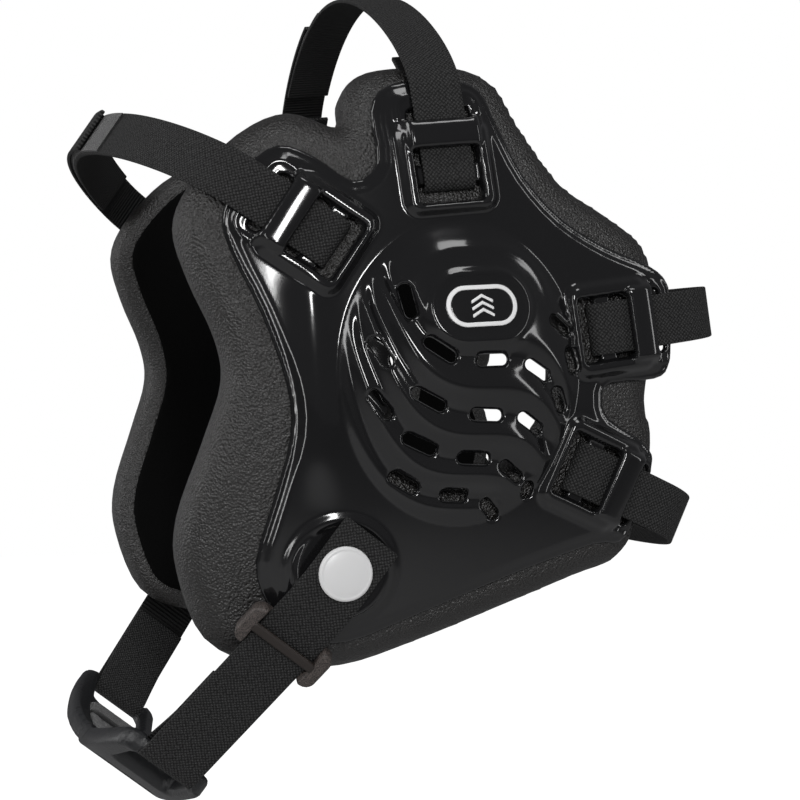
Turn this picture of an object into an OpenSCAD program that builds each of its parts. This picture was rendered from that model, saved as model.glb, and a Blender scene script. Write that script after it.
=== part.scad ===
// Wrestling headgear: two hard ear guards on foam pads, four head straps and a chin strap with a cup.
// Axes: X runs through both ears (+X is the wearer's left), -Y is forward and +Z is up.
// The origin is the middle of the ear axis, halfway between the two guards.

/* [Ear guards] */
// Distance between the head sides of the two pads, on the ear axis
head_gap = 156; // [140:1:176]
// Thickness of the foam pad
pad_t = 20; // [14:0.5:24]
// Wall of the hard shell
shell_t = 2.5; // [2:0.1:3]
// Radius of the curve that the shell follows, on its outer face
curve_r = 320; // [280:5:400]
// Scale of the pad and shell outlines
cup_scale = 1; // [0.97:0.01:1.06]

/* [Ear dome] */
// Radius of the dome where it leaves the shell
dome_r = 36; // [34:0.5:37]
// Height of the dome over the shell
dome_h = 10; // [6:0.5:13]
// Radius of the ear opening in the pad
ear_r = 31; // [24:0.5:32]
// Width of one vent slot
vent_w = 3.4; // [2:0.1:4]
// Length of the badge plate
badge_len = 20; // [16:0.5:23]
// Height of the badge plate
badge_wid = 10.4; // [9:0.2:12]
// Width of the ring around the badge plate
badge_ring_w = 1.3; // [0.8:0.1:1.8]

/* [Head straps] */
// Width of the head strap webbing
strap_w = 15.2; // [13:0.1:17]
// Thickness of all webbing
web_t = 1.3; // [1:0.1:1.5]
// Width of a buckle frame across its strap
frame_w = 29; // [27:0.5:31]
// Height of the crown strap's top over the ear axis
crown_rise = 122; // [112:1:140]
// Reach of the forehead strap in front of the ear axis
forehead_reach = 120; // [112:1:140]
// Reach of the upper rear strap behind the ear axis
upper_rear_reach = 95; // [90:1:120]
// Reach of the lower rear strap behind the ear axis
lower_rear_reach = 96; // [90:1:120]

/* [Chin strap] */
// Width of the chin strap webbing
chin_w = 19; // [16:0.5:20]
// Distance from the snap down to the chin cup's slot
chin_run = 74; // [70:1:88]
// Diameter of the white snap cap
cap_d = 15.6; // [13:0.2:17]
// Half of the chin cup's length, from its fold to one end
cup_half = 66; // [63:0.5:72]
// Width of the chin cup, front to back
cup_w = 31; // [29:0.5:36]
// Thickness of the chin cup
cup_t = 6.5; // [5:0.5:8]

/* [Hidden] */

// Faces of the round parts; every one is over 12, so each stays a true curve
ROUND = 64;
BALL = 400;
// Clearance left between webbing and what it passes
gap = 0.35;

// The shell, the pad and the liner are layers of concentric balls
liner_t = 1.2;
shell_apex = head_gap / 2 + pad_t + shell_t;
ball_x = shell_apex - curve_r;
pad_out_r = curve_r - shell_t;
pad_in_r = pad_out_r - pad_t;
function face_x(radius, reach) = ball_x + sqrt(radius * radius - reach * reach);

// Closed smooth curve through its points (Catmull-Rom), with steps pieces between two of them
function smooth(p, steps) = let (n = len(p)) [
    for (i = [0 : n - 1]) for (k = [0 : steps - 1])
        let (t = k / steps, a = p[(i + n - 1) % n], b = p[i], c = p[(i + 1) % n], d = p[(i + 2) % n])
        0.5 * (2 * b + (c - a) * t + (2 * a - 5 * b + 4 * c - d) * t * t
            + (3 * b - a - 3 * c + d) * t * t * t)];

// Outlines seen along the ear axis as [back, up], from the front notch down and round the back
pad_outline = [[-66, -3], [-71, -20], [-78, -42], [-77.5, -58], [-69, -78], [-52, -85.5], [-30, -86],
    [-8, -79], [17, -69.5], [40, -61], [54, -56], [60, -45], [64.5, -22], [61.5, -8], [65, 6],
    [66, 22], [61.5, 38], [49.5, 47], [35, 56], [23, 72.5], [16, 85], [5, 90], [-12, 89.5],
    [-25, 86.5], [-31, 78], [-32, 70.8], [-46, 75], [-60, 69], [-74, 54], [-79, 41], [-75, 26],
    [-68, 10]];
shell_outline = [[-50, -3], [-48.7, -18], [-53, -36], [-57.5, -54], [-54, -66], [-44, -76],
    [-31, -78], [-10, -70], [18, -59], [43, -51], [52, -50.5], [57, -43], [61.5, -30], [60, -22],
    [47, -14], [44.5, -8], [47, -3.5], [62, -2], [67, 2], [68, 14], [67, 26], [61, 31.5],
    [46, 37], [32, 45], [21, 57], [14, 71], [9, 82], [0, 85], [-18, 83], [-24, 75], [-23, 60],
    [-30, 54.5], [-41, 61.5], [-51, 64.5], [-60, 58], [-67, 45], [-65, 34], [-57, 17]];

// Buckles: direction of the strap from the ear axis, its sideways shift, and where slot B2 starts
crown = [96, -3.3, 49];
forehead = [146, -9.5, 46];
upper_rear = [8.4, 6.1, 38.4];
lower_rear = [336.2, -10.9, 39.5];
ARMS = [crown, forehead, upper_rear, lower_rear];
// Along each arm, outward: slot B2, middle bar, slot B1, bridge, slot A and the outer lip
b2_len = 5.2;
mid_len = 5.6;
b1_len = 4.8;
bridge_len = 8.2;
a_len = 3.6;
lip_len = 4.6;
rim_len = 4;
arm_len = b2_len + mid_len + b1_len + bridge_len + a_len + lip_len;
bridge_at = b2_len + mid_len + b1_len;
slot_w = strap_w + 3.4;
rim_h = 2.4;
bridge_h = 2.4;
// The tail runs under the shell's floor in a pocket in the foam
tail_h = -shell_t - 2 * gap - web_t / 2;
floor_h = 0.3;
run_h = floor_h + gap / 2 + web_t / 2;
pocket_t = web_t + 3 * gap + 1;
pocket_w = strap_w + 3;
function tilt(arm) = asin((arm[2] + arm_len / 2) / curve_r);

// Local frame of a buckle: X is off the shell, Y along the strap outward, Z across the strap
module at_arm(arm) {
    mid = arm[2] + arm_len / 2;
    rotate([arm[0], 0, 0])
        translate([face_x(curve_r, norm([mid, arm[1]])), mid, arm[1]])
            rotate([0, 0, tilt(arm)])
                translate([0, -arm_len / 2, 0])
                    children();
}

// Box from one corner to the other
module box(a, b) {
    translate(a) cube(b - a);
}

// Plate with rounded corners standing in the YZ plane, from x0 to x1
module round_plate(x0, x1, y0, y1, width, r) {
    box([x0, y0 + r, -width / 2], [x1, y1 - r, width / 2]);
    box([x0, y0, -width / 2 + r], [x1, y1, width / 2 - r]);
    for (y = [y0 + r, y1 - r]) for (z = [-1, 1])
        translate([x0, y, z * (width / 2 - r)]) rotate([0, 90, 0]) cylinder(r = r, h = x1 - x0, $fn = ROUND);
}

// Slot with round ends along X, between two points
module slot(x0, x1, length, width) {
    half = (length - width) / 2;
    box([x0, -half, -width / 2], [x1, half, width / 2]);
    for (y = [-half, half])
        translate([x0, y, 0]) rotate([0, 90, 0]) cylinder(d = width, h = x1 - x0, $fn = ROUND);
}

// Layer between two balls, cut to an outline
module layer(outline, r_in, r_out, steps) {
    intersection() {
        rotate([90, 0, 90])
            linear_extrude(height = 2 * head_gap)
                polygon(smooth(cup_scale * outline, steps));
        difference() {
            translate([ball_x, 0, 0]) sphere(r = r_out, $fn = BALL);
            translate([ball_x, 0, 0]) sphere(r = r_in, $fn = BALL);
        }
    }
}

/* Ear dome, its vents and the badge */
dome_rise = dome_h + shell_apex - face_x(curve_r, dome_r);
dome_ball = (dome_r * dome_r + dome_rise * dome_rise) / (2 * dome_rise);
dome_x = shell_apex + dome_h - dome_ball;
badge_at = [3.8, 16.6];
badge_seat = 1.2;
// Vents as [back, up, length, slope]: they sit in the valleys of the swirl
VENTS = [[-16.8, 20, 10, -78], [-8.4, 6.2, 10.5, -33], [6.8, 3.4, 9.8, 2], [21.6, 0.6, 9.2, -30],
    [29.5, 13.5, 8, -37], [-24.5, 5.6, 9.5, -60], [-11.6, -7.8, 10.8, -28], [5.3, -12.2, 10, -2],
    [19.6, -14.7, 9.4, -32], [29.4, -8, 7.6, -68], [-24.6, -9.2, 9.5, -55], [-13.5, -20.4, 10.6, -25],
    [2.4, -24.6, 9.8, -3], [14.6, -28.6, 9, -35], [-17, -31.5, 9.5, -30], [-2.2, -35.4, 8, -3]];

// Local frame on the dome at a point seen along the ear axis
module on_dome(at) {
    turn = atan2(at[1], at[0]);
    lean = asin(norm(at) / dome_ball);
    translate([dome_x, 0, 0])
        rotate([turn, 0, 0]) rotate([0, 0, lean]) rotate([-turn, 0, 0])
            translate([dome_ball, 0, 0])
                children();
}

// Solid ball of the dome; its poles lie on the ear axis
module dome_solid(radius) {
    translate([dome_x, 0, 0]) rotate([0, 90, 0]) sphere(r = radius, $fn = BALL / 2);
}

module dome_cap() {
    intersection() {
        dome_solid(dome_ball);
        box([face_x(curve_r, dome_r) - 1.2, -50, -50], [shell_apex + 40, 50, 50]);
    }
}

/* Snap and its seat on the shell */
snap_at = [-34, -57];
chin_turn = 232.5;
seat_r = 13;
seat_x = face_x(curve_r, norm(snap_at)) + 1.2;
stud_flange = 0.8;
stud_h = 2.7;
post_len = 6;
socket_t = 2.4;
socket_cavity = 4.2;
socket_x = seat_x + stud_flange + 0.2;
web_x = socket_x + socket_t + web_t / 2 + 0.05;
cap_x = web_x + web_t / 2 + 0.05;

module at_snap() {
    translate([0, snap_at[0], snap_at[1]]) rotate([chin_turn, 0, 0]) children();
}

module ear_shell() {
    color("#202022") difference() {
        union() {
            layer(shell_outline, pad_out_r, curve_r, 3);
            dome_cap();
            for (arm = ARMS) at_arm(arm) {
                round_plate(-1.3, rim_h, -rim_len, bridge_at + bridge_len, frame_w, 4);
                box([rim_h - 0.5, bridge_at, -frame_w / 2 + 2],
                    [floor_h + web_t + gap + bridge_h, bridge_at + bridge_len, frame_w / 2 - 2]);
            }
            difference() {
                at_snap() translate([seat_x - 6, 0, 0]) rotate([0, 90, 0])
                    cylinder(r = seat_r, h = 6, $fn = ROUND);
                translate([ball_x, 0, 0]) sphere(r = pad_out_r + 0.2, $fn = BALL);
            }
        }
        dome_solid(dome_ball - shell_t);
        for (arm = ARMS) at_arm(arm) {
            box([-6, 0, -slot_w / 2], [8, b2_len, slot_w / 2]);
            box([-6, b2_len + mid_len, -slot_w / 2], [8, bridge_at, slot_w / 2]);
            box([-6, bridge_at - 1, -slot_w / 2],
                [floor_h + web_t + gap, bridge_at + bridge_len + a_len, slot_w / 2]);
            box([floor_h, -0.5, -slot_w / 2 - 0.4], [8, bridge_at, slot_w / 2 + 0.4]);
        }
        for (v = VENTS) translate([0, v[0], v[1]]) rotate([v[3], 0, 0])
            slot(shell_apex - 6, shell_apex + 30, v[2], vent_w);
        on_dome(badge_at) slot(-badge_seat, 6, badge_len + 2 * badge_ring_w + 0.4,
            badge_wid + 2 * badge_ring_w + 0.4);
        at_snap() translate([seat_x - 12, 0, 0]) rotate([0, 90, 0]) cylinder(r = 1.9, h = 20, $fn = ROUND);
    }
}

module foam_pad() {
    color("#1a1a1a") difference() {
        layer(pad_outline, pad_in_r + liner_t, pad_out_r - 0.05, 3);
        rotate([0, 90, 0]) cylinder(r = ear_r, h = 2 * head_gap, $fn = ROUND);
        for (arm = ARMS) at_arm(arm)
            box([-shell_t - pocket_t, -2.5, -pocket_w / 2], [6, arm_len + 40, pocket_w / 2]);
        for (s = LONG_TAILS) rotate([s[0][0], 0, 0]) translate([0, 0, s[0][1]])
            web(tail(s[0], s[1], s[2]), -web_t / 2 - gap, tail_relief, pocket_w - 1);
        at_snap() translate([seat_x - 9, 0, 0]) rotate([0, 90, 0]) cylinder(r = 6.5, h = 9, $fn = ROUND);
    }
}

module pad_liner() {
    color("#0f0f0f") difference() {
        layer(pad_outline, pad_in_r, pad_in_r + liner_t, 3);
        rotate([0, 90, 0]) cylinder(r = ear_r, h = 2 * head_gap, $fn = ROUND);
    }
}

module badge_plate() {
    color("#101010") on_dome(badge_at) slot(-badge_seat + 0.05, 0.1, badge_len - 0.2, badge_wid - 0.2);
}

module badge_ring() {
    color("#e8e8e8") on_dome(badge_at) difference() {
        slot(-badge_seat + 0.05, 0.4, badge_len + 2 * badge_ring_w, badge_wid + 2 * badge_ring_w);
        slot(-badge_seat - 1, 2, badge_len, badge_wid);
    }
}

// The post comes through the shell from the foam side and its barrel holds the stud
module snap_post() {
    color("#b8b8b8") at_snap() {
        translate([seat_x - post_len, 0, 0]) rotate([0, 90, 0]) {
            cylinder(r = 5.6, h = stud_flange, $fn = ROUND);
            cylinder(r = 1.75, h = post_len, $fn = ROUND);
        }
    }
}

module snap_stud() {
    color("#b8b8b8") at_snap() translate([seat_x, 0, 0]) rotate([0, 90, 0]) {
        cylinder(r = 5.4, h = stud_flange, $fn = ROUND);
        cylinder(r = 2.1, h = stud_h, $fn = ROUND);
        translate([0, 0, stud_h - 1.2]) cylinder(r = 2.5, h = 1.2, $fn = ROUND);
    }
}

module snap_socket() {
    color("#b8b8b8") at_snap() translate([socket_x, 0, 0]) rotate([0, 90, 0]) difference() {
        cylinder(r = 6, h = socket_t, $fn = ROUND);
        translate([0, 0, -1]) cylinder(r = socket_cavity, h = socket_t + 0.5, $fn = ROUND);
    }
}

// The cap's barrel goes through the webbing into the socket's face
module snap_cap() {
    color("#e6e6e6") at_snap() translate([cap_x, 0, 0]) rotate([0, 90, 0]) {
        cylinder(d = cap_d, h = 1, $fn = ROUND);
        translate([0, 0, 1]) cylinder(d1 = cap_d, d2 = cap_d - 2, h = 0.7, $fn = ROUND);
        translate([0, 0, -web_t - 0.1]) cylinder(r = 1.7, h = web_t + 0.2, $fn = ROUND);
    }
}

/* Ribbons: a centre line of [x, y] points and the two faces beside it */
function unit(v) = v / norm(v);
function side_of(p, i) = let (a = p[max(i - 1, 0)], b = p[min(i + 1, len(p) - 1)], d = unit(b - a))
    [-d[1], d[0]];
function ribbon(p, lo, hi) = concat(
    [for (i = [0 : len(p) - 1]) p[i] + lo * side_of(p, i)],
    [for (i = [len(p) - 1 : -1 : 0]) p[i] + hi * side_of(p, i)]);
function bezier(a, b, c, d, t) = a * pow(1 - t, 3) + 3 * b * t * pow(1 - t, 2)
    + 3 * c * t * t * (1 - t) + d * pow(t, 3);

module web(points, lo, hi, width) {
    translate([0, 0, -width / 2]) linear_extrude(height = width) polygon(ribbon(points, lo, hi));
}

/* Head straps. The left piece runs over the head and under the right piece, joined by hook and loop */
// A point given in a buckle's own frame, as [x, distance from the ear axis]
function arm_point(arm, h, y) = let (mid = arm[2] + arm_len / 2, tip = tilt(arm))
    [face_x(curve_r, norm([mid, arm[1]])), mid]
    + h * [cos(tip), sin(tip)] + (y - arm_len / 2) * [-sin(tip), cos(tip)];
turn_r = (run_h - tail_h) / 2;
turn_y = 0.7 + turn_r;
// Arch over the head from the left lip (t = 0) to the right one (t = 1), reach from the ear axis
function arch(arm, reach, full, t) = let (m = t <= 0.5 ? 2 * t : 2 - 2 * t,
    a = arm_point(arm, run_h, arm_len + 2), tip = tilt(arm),
    p = bezier(a, a + full[0] * [-sin(tip), cos(tip)], [full[1], reach], [0, reach], m))
    t <= 0.5 ? p : [-p[0], p[1]];
function span(arm, reach, full, t0, t1, steps) =
    [for (i = [0 : steps]) arch(arm, reach, full, t0 + (t1 - t0) * i / steps)];
function lifted(p, by) = [for (i = [0 : len(p) - 1]) p[i] + by[i] * side_of(p, i)];
// Tail beside the arch, then along under the floor, round through slot B2 and up to the outer lip
tail_steps = 5;
function tail(arm, reach, full) = let (p = span(arm, reach, full, full[2], 0, tail_steps))
    lifted(p, [for (i = p) tail_h - run_h]);
function thread(arm, reach, full) = concat(tail(arm, reach, full),
    [for (a = [-90 : -18 : -270])
        arm_point(arm, (run_h + tail_h) / 2 + turn_r * sin(a), turn_y + turn_r * cos(a))],
    [arm_point(arm, run_h, arm_len - 2)]);
// Outward step of the right piece over the left one
patch_t = 0.7;
lift = web_t + 2 * patch_t + 0.15;
function ease(t) = t <= 0 ? 0 : t >= 1 ? 1 : t * t * (3 - 2 * t);
end_t = 0.8;
rise_t = 0.14;

module left_piece(arm, reach, full) {
    color("#161616") rotate([arm[0], 0, 0]) translate([0, 0, arm[1]])
        web(concat(thread(arm, reach, full), span(arm, reach, full, 0, end_t, 36)), -web_t / 2, web_t / 2, strap_w);
}

module right_piece(arm, reach, full, tab_t) {
    steps = 24;
    line = span(arm, reach, full, 1, tab_t, steps);
    rise = [for (i = [0 : steps]) lift * ease((1 - tab_t) * i / steps / rise_t)];
    flip = [for (p = thread(arm, reach, full)) [-p[0], p[1]]];
    color("#161616") rotate([arm[0], 0, 0]) translate([0, 0, arm[1]])
        web(concat(flip, lifted(line, rise)), -web_t / 2, web_t / 2, strap_w);
}

module loop_patch(arm, reach, full, tab_t) {
    color("#1c1c1c") rotate([arm[0], 0, 0]) translate([0, 0, arm[1]])
        web(span(arm, reach, full, tab_t - 0.07, end_t - 0.02, 20), -web_t / 2 - patch_t, -web_t / 2 - 0.02,
            strap_w - 1);
}

module hook_patch(arm, reach, full, tab_t) {
    color("#1c1c1c") rotate([arm[0], 0, 0]) translate([0, 0, arm[1]])
        web(span(arm, reach, full, tab_t + 0.01, end_t - 0.02, 16), -web_t / 2 - 2 * patch_t - 0.1,
            -web_t / 2 - patch_t - 0.05, strap_w - 1.6);
}

// Shape of each arch: how far it goes straight on, how wide its top is and how far its tail reaches
crown_arch = [12, 46, 0.16];
forehead_arch = [16, 46, 0.12];
upper_rear_arch = [15, 66, 0.04];
lower_rear_arch = [15, 66, 0.04];
crown_tab = 0.62;
forehead_tab = 0.45;
rear_tab = 0.55;
// The foam is cut away along the two tails that reach past their pockets, and well outside the pad
LONG_TAILS = [[crown, crown_rise, crown_arch], [forehead, forehead_reach, forehead_arch]];
tail_relief = 8;

/* Chin strap */
chin_end = 13.3;
chin_flat = 9;
cup_drop = web_x - cup_half + 0.4;
chin_lean = atan2(cup_drop, chin_run - chin_flat);
// Distance down the strap as [x, y]: flat over the snap, then straight down to the cup's slot
function chin_point(y) = y <= chin_flat ? [web_x, y]
    : [web_x - (y - chin_flat) * tan(chin_lean), y];
// The cup's end bar sits inside the strap's loop, and the strap comes back up inside to its sewn end
bar_r = 2.4;
loop_r = bar_r + 0.25 + web_t / 2;
loop_c = chin_point(chin_run) - loop_r * [cos(chin_lean), sin(chin_lean)];
back_up = 33;
function down(a, l) = a + l * [-sin(chin_lean), cos(chin_lean)];
function chin_line() = concat(
    [[web_x, -chin_end], [web_x, chin_flat - 3], [web_x - 0.2, chin_flat]],
    [for (a = [0 : 18 : 180]) loop_c + loop_r * [cos(a + chin_lean), sin(a + chin_lean)]],
    [down(loop_c + (loop_r - 1.6) * [-cos(chin_lean), -sin(chin_lean)], -10),
        down(chin_point(chin_run) - (web_t + 0.5) * [cos(chin_lean), sin(chin_lean)], -16),
        down(chin_point(chin_run) - (web_t + 0.5) * [cos(chin_lean), sin(chin_lean)], -back_up)]);

module chin_strap() {
    color("#161616") at_snap() difference() {
        web(chin_line(), -web_t / 2, web_t / 2, chin_w);
        translate([web_x - 3, 0, 0]) rotate([0, 90, 0]) cylinder(r = 1.9, h = 6, $fn = ROUND);
    }
}

/* Slider: a flat frame with two bars behind the webbing and a middle bar in front of it */
slider_at = 26;
slider_len = 13;
slider_bar = 3;
slider_rail = 4;
slider_bar_t = 1.6;
module slider() {
    half = chin_w / 2 + 0.5;
    back = -web_t / 2 - 0.25;
    front = web_t / 2 + 0.25;
    color("#4a4441") at_snap()
        translate([chin_point(slider_at)[0], slider_at, 0]) rotate([0, 0, chin_lean]) {
            for (z = [-half - slider_rail, half])
                box([back - slider_bar_t, -slider_len / 2, z],
                    [front + slider_bar_t, slider_len / 2, z + slider_rail]);
            for (y = [-slider_len / 2, slider_len / 2 - slider_bar])
                box([back - slider_bar_t, y, -half - 1], [back, y + slider_bar, half + 1]);
            box([front, -slider_bar / 2, -half - 1], [front + slider_bar_t, slider_bar / 2, half + 1]);
        }
}

/* Chin cup: a thick moulded plate, folded at its middle, with a strap slot and a long slot at each end */
bar_x = loop_c[0];
bar_y = loop_c[1];
fold_rise = 12;
fold_y = bar_y + fold_rise;
fold_angle = atan2(fold_rise, bar_x);
strap_slot = 20;
plate_x = bar_x - bar_r - strap_slot;
long_slot_x = plate_x - 18;
long_slot_w = 5;
long_slot_l = cup_w - 9;
liner_h = 2;
liner_half = plate_x - 3;
// Outline from above as [X, along the slots]: rounded ends and a front edge with a slight point
cup_plan = [[0, 1], [20, -0.5], [cup_half - 24, -0.3], [cup_half - 7, 1], [cup_half - 1.5, 5]];
function cup_side(x, z) = [for (p = cup_plan) [x * p[0], z * (cup_w / 2 - p[1])]];
function flip(p) = [for (i = [len(p) - 1 : -1 : 0]) p[i]];
function trim(p) = [for (i = [1 : len(p) - 1]) p[i]];
cup_ring = concat(cup_side(1, -1), [[cup_half, 0]], flip(cup_side(1, 1)),
    trim(cup_side(-1, 1)), [[-cup_half, 0]], flip(trim(cup_side(-1, -1))));

// V-shaped layer of the cup, between two offsets from its middle face, out to a half length
module vee(lo, hi, half) {
    rise = half * tan(fold_angle);
    translate([0, 0, -cup_w]) linear_extrude(height = 2 * cup_w)
        polygon([[-half, fold_y - rise + lo], [0, fold_y + lo], [half, fold_y - rise + lo],
            [half, fold_y - rise + hi], [0, fold_y + hi], [-half, fold_y - rise + hi]]);
}

module cup_blank(lo, hi, half, shrink) {
    intersection() {
        vee(lo, hi, half);
        translate([0, fold_y + 20, 0]) rotate([90, 0, 0])
            linear_extrude(height = 80) polygon(smooth([for (p = cup_ring) [p[0], p[1] * shrink]], 3));
    }
}

module long_slots() {
    for (side = [-1, 1])
        translate([side * long_slot_x, fold_y - 20, 0]) rotate(a = 120, v = [1, 1, 1])
            slot(0, 40, long_slot_l, long_slot_w);
}

module chin_cup() {
    rail = (cup_w - chin_w - 1) / 2;
    color("#2a2b2d") at_snap() difference() {
        union() {
            cup_blank(-cup_t / 2, cup_t / 2, cup_half + 1, 1);
            for (side = [-1, 1])
                translate([side * bar_x, bar_y, -cup_w / 2 + rail - 1.5])
                    cylinder(r = bar_r, h = chin_w + 4, $fn = ROUND);
        }
        for (side = [-1, 1]) translate([side * bar_x, bar_y, 0]) difference() {
            box([side > 0 ? -bar_r - strap_slot : -20, -30, -chin_w / 2 - 0.5],
                [side > 0 ? 20 : bar_r + strap_slot, 30, chin_w / 2 + 0.5]);
            translate([0, 0, -cup_w]) cylinder(r = bar_r, h = 2 * cup_w, $fn = ROUND);
        }
        long_slots();
    }
}

module chin_cup_liner() {
    color("#141414") at_snap() difference() {
        cup_blank(-cup_t / 2 - liner_h, -cup_t / 2, liner_half, 0.8);
        long_slots();
    }
}

module both(side) {
    if (side > 0) children();
    else mirror([1, 0, 0]) children();
}

ear_shell();  // left_ear_shell
both(-1) ear_shell();  // right_ear_shell
foam_pad();  // left_foam_pad
both(-1) foam_pad();  // right_foam_pad
pad_liner();  // left_pad_liner
both(-1) pad_liner();  // right_pad_liner
badge_plate();  // left_badge_plate
both(-1) badge_plate();  // right_badge_plate
badge_ring();  // left_badge_ring
both(-1) badge_ring();  // right_badge_ring
snap_stud();  // left_snap_stud
both(-1) snap_stud();  // right_snap_stud
snap_post();  // left_snap_post
both(-1) snap_post();  // right_snap_post
snap_socket();  // left_snap_socket
both(-1) snap_socket();  // right_snap_socket
snap_cap();  // left_snap_cap
both(-1) snap_cap();  // right_snap_cap
chin_strap();  // left_chin_strap
both(-1) chin_strap();  // right_chin_strap
slider();  // left_slider
both(-1) slider();  // right_slider
chin_cup();
chin_cup_liner();
left_piece(crown, crown_rise, crown_arch);  // crown_strap_left
right_piece(crown, crown_rise, crown_arch, crown_tab);  // crown_strap_right
left_piece(forehead, forehead_reach, forehead_arch);  // forehead_strap_left
right_piece(forehead, forehead_reach, forehead_arch, forehead_tab);  // forehead_strap_right
left_piece(upper_rear, upper_rear_reach, upper_rear_arch);  // upper_rear_strap_left
right_piece(upper_rear, upper_rear_reach, upper_rear_arch, rear_tab);  // upper_rear_strap_right
left_piece(lower_rear, lower_rear_reach, lower_rear_arch);  // lower_rear_strap_left
right_piece(lower_rear, lower_rear_reach, lower_rear_arch, rear_tab);  // lower_rear_strap_right
loop_patch(crown, crown_rise, crown_arch, crown_tab);  // crown_loop_patch
hook_patch(crown, crown_rise, crown_arch, crown_tab);  // crown_hook_patch
loop_patch(forehead, forehead_reach, forehead_arch, forehead_tab);  // forehead_loop_patch
hook_patch(forehead, forehead_reach, forehead_arch, forehead_tab);  // forehead_hook_patch
loop_patch(upper_rear, upper_rear_reach, upper_rear_arch, rear_tab);  // upper_rear_loop_patch
hook_patch(upper_rear, upper_rear_reach, upper_rear_arch, rear_tab);  // upper_rear_hook_patch
loop_patch(lower_rear, lower_rear_reach, lower_rear_arch, rear_tab);  // lower_rear_loop_patch
hook_patch(lower_rear, lower_rear_reach, lower_rear_arch, rear_tab);  // lower_rear_hook_patch
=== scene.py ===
import math

import bmesh
import bpy
import numpy as np
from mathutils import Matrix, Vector


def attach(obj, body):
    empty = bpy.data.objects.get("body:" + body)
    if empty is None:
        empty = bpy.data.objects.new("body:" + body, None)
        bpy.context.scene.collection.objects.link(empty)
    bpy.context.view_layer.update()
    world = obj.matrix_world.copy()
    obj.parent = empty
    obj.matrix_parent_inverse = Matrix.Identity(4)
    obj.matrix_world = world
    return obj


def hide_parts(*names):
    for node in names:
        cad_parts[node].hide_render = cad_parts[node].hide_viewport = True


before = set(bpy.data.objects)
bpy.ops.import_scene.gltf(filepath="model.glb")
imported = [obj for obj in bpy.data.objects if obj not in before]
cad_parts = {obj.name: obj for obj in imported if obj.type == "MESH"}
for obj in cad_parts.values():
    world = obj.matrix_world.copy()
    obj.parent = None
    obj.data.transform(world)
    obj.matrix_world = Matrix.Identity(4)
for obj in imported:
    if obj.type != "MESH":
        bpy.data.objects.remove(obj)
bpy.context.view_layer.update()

# ---------------------------------------------------------------- Ear shells
# Two glossy moulded guards: a vented dome with swirled fins, a badge boss, four strap
# buckles on raised frames and a round seat for the snap. Each is one wall, 2.2 mm thick.
# All sizes below are millimetres, and mesh points are scaled to metres as they are made.
MM = 0.001


def linear(code):
    """sRGB hex colour as linear RGBA."""
    parts = [int(code[i:i + 2], 16) / 255 for i in (1, 3, 5)]
    return (*[c / 12.92 if c <= 0.04045 else ((c + 0.055) / 1.055) ** 2.4 for c in parts], 1.0)


def add(tree, kind, inputs=(), **settings):
    """Adds one shader node. An input that is a socket is linked, and any other is a value."""
    n = tree.nodes.new("ShaderNode" + kind)
    for key, value in settings.items():
        setattr(n, key, value)
    for key, value in dict(inputs).items():
        if isinstance(value, bpy.types.NodeSocket):
            tree.links.new(value, n.inputs[key])
        else:
            n.inputs[key].default_value = value
    return n


def material(name, **values):
    """A new Principled material: its node tree and shader, with fixed inputs set."""
    m = bpy.data.materials.new(name)
    m.use_nodes = True
    shader = m.node_tree.nodes["Principled BSDF"]
    for key, value in values.items():
        shader.inputs[key.replace("_", " ")].default_value = value
    return m, m.node_tree, shader


def smooth(points, steps):
    """Closed Catmull-Rom curve through the points."""
    p, out = np.array(points, float), []
    for i in range(len(p)):
        a, b, c, d = p[i - 1], p[i], p[(i + 1) % len(p)], p[(i + 2) % len(p)]
        for k in range(steps):
            t = k / steps
            out.append(0.5 * (2 * b + (c - a) * t + (2 * a - 5 * b + 4 * c - d) * t * t
                              + (3 * b - a - 3 * c + d) * t ** 3))
    return np.array(out)


def sd_outline(u, v, ring):
    """Signed distance to a closed outline, negative inside."""
    best, inside = np.full(u.shape, 1e9), np.zeros(u.shape, bool)
    for a, b in zip(ring, np.roll(ring, -1, axis=0)):
        d = b - a
        t = np.clip(((u - a[0]) * d[0] + (v - a[1]) * d[1]) / (d @ d), 0, 1)
        best = np.minimum(best, np.hypot(u - a[0] - t * d[0], v - a[1] - t * d[1]))
        if a[1] != b[1]:
            crosses = ((a[1] > v) != (b[1] > v)) & (u < d[0] * (v - a[1]) / d[1] + a[0])
            inside ^= crosses
    return np.where(inside, -best, best)


def sd_rect(u, v, half_u, half_v, r):
    """Signed distance to a rounded rectangle at the origin."""
    a, b = np.abs(u) - half_u + r, np.abs(v) - half_v + r
    return np.hypot(np.maximum(a, 0), np.maximum(b, 0)) + np.minimum(np.maximum(a, b), 0) - r


def ramp(t):
    """Smooth rise from 0 to 1."""
    t = np.clip(t, 0, 1)
    return t * t * (3 - 2 * t)


def round_drop(inside, r):
    """How far a face falls at its rounded edge, by the distance in from the edge."""
    return r - np.sqrt(np.maximum(r * r - (r - np.clip(inside, 0, r)) ** 2, 0))


def finish(bm, name, materials, body):
    """Turns a bmesh in millimetres into a named piece that rides on a CAD body."""
    bmesh.ops.scale(bm, vec=(MM, MM, MM), verts=bm.verts)
    for f in bm.faces:
        f.smooth = True
    mesh = bpy.data.meshes.new(name)
    bm.to_mesh(mesh)
    bm.free()
    obj = bpy.data.objects.new(name, mesh)
    bpy.context.scene.collection.objects.link(obj)
    for m in materials:
        mesh.materials.append(m)
    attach(obj, body)
    return obj


def mirrored(obj, name, body):
    """The other side's copy of a piece, turned the right way out."""
    bm = bmesh.new()
    bm.from_mesh(obj.data)
    bmesh.ops.scale(bm, vec=(-1 / MM, 1 / MM, 1 / MM), verts=bm.verts)
    bmesh.ops.reverse_faces(bm, faces=bm.faces)
    return finish(bm, name, obj.data.materials, body)


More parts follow.
